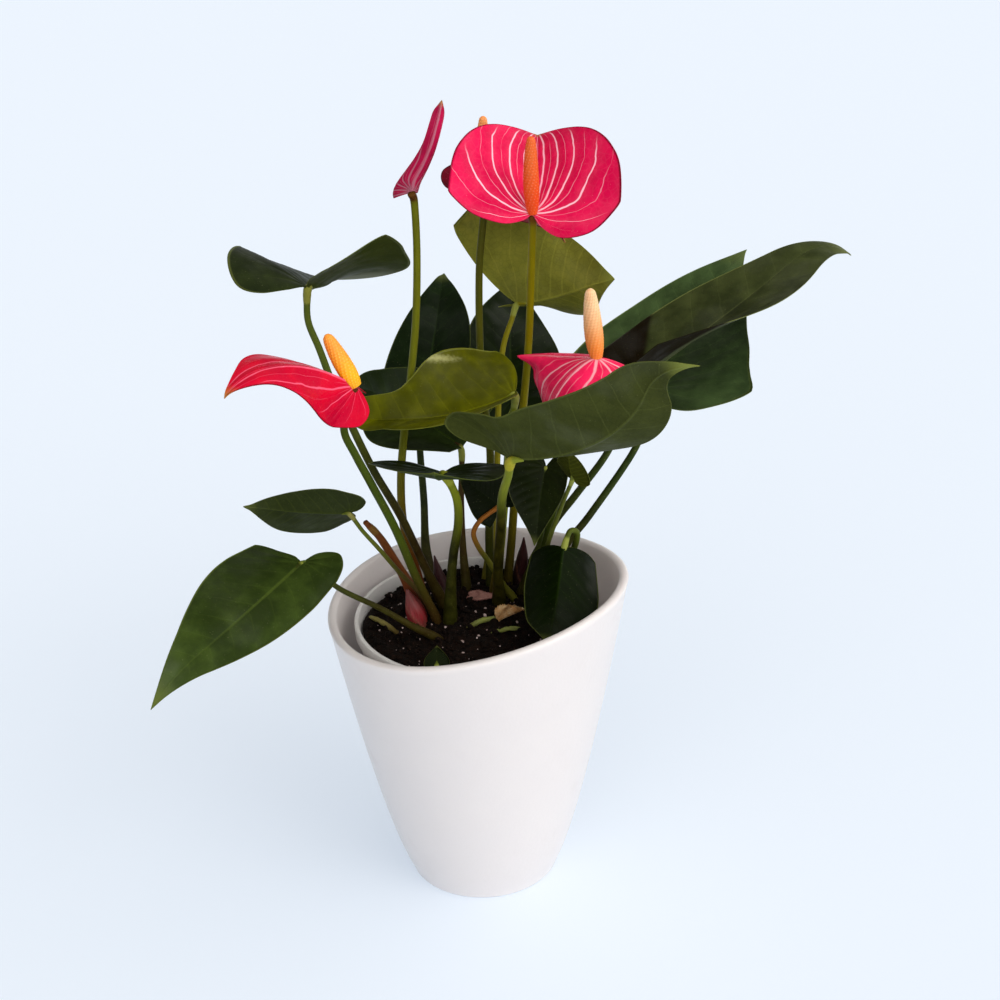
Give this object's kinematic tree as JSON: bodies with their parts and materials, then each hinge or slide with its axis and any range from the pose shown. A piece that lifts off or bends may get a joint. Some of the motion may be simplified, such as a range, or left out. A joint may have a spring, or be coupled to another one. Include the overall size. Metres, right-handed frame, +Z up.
{
  "type": "potted plant",
  "caption": "Flamingo flower with heart-shaped leaves and red spathes, growing in a nursery pot inside a tapered white cover pot with a slanted rim",
  "frame": {"origin": "middle of the cover pot's foot, on the ground it stands on", "axes": "+Z up, -Y towards the front that the picture shows, +X to the right; the rim is highest at the right front"},
  "size_m": [0.3306, 0.2911, 0.3885],
  "materials": {
    "leaf_green": "waxy, satin",
    "leaf_bright": "waxy, glossy",
    "leaf_pale": "matt underside",
    "stalk_green": "smooth, satin",
    "spathe_red": "waxy, glossy",
    "spadix_orange": "pebbled",
    "spadix_peach": "pebbled",
    "spadix_yellow": "pebbled",
    "sheath_red": "smooth, satin",
    "root_green": "rough",
    "dried_leaf": "dry, matt",
    "soil": "crumbly",
    "inner_pot_white": "satin",
    "cover_pot_white": "glossy, smooth"
  },
  "bodies": {
    "root": {"leaf_lower_left": "leaf_green", "leaf_small_left": "leaf_green", "leaf_upper_left": "leaf_green", "leaf_back_left": "leaf_green", "leaf_back_centre": "leaf_green", "leaf_dark_middle": "leaf_green", "leaf_long_right": "leaf_green", "leaf_broad_right": "leaf_green", "leaf_front_level": "leaf_green", "leaf_hanging_middle": "leaf_green", "leaf_hanging_glossy": "leaf_green", "leaf_over_rim": "leaf_green", "leaf_sprout": "leaf_green", "leaf_bright_centre": "leaf_bright", "leaf_behind_flower": "leaf_pale", "leaf_front_right": "leaf_pale", "leaf_tiny_right": "leaf_pale", "stalk_upper_left": "stalk_green", "spathe_upper_left": "spathe_red", "spadix_upper_left": "spadix_orange", "stalk_top": "stalk_green", "spathe_top": "spathe_red", "spadix_top": "spadix_orange", "stalk_rear": "stalk_green", "spathe_rear": "spathe_red", "spadix_rear": "spadix_peach", "stalk_lower_left": "stalk_green", "spathe_lower_left": "spathe_red", "spadix_lower_left": "spadix_yellow", "stalk_right": "stalk_green", "spathe_right": "spathe_red", "spadix_right": "spadix_peach", "stalk_red": "sheath_red", "sheath_pink": "sheath_red", "sheath_red_left": "sheath_red", "sheath_red_right": "sheath_red", "root_front": "root_green", "root_left": "root_green", "root_middle": "root_green", "leaf_dried": "dried_leaf", "bract_dried": "dried_leaf", "potting_soil": "soil", "nursery_pot": "inner_pot_white", "cover_pot": "cover_pot_white"}
  },
  "joints": []
}
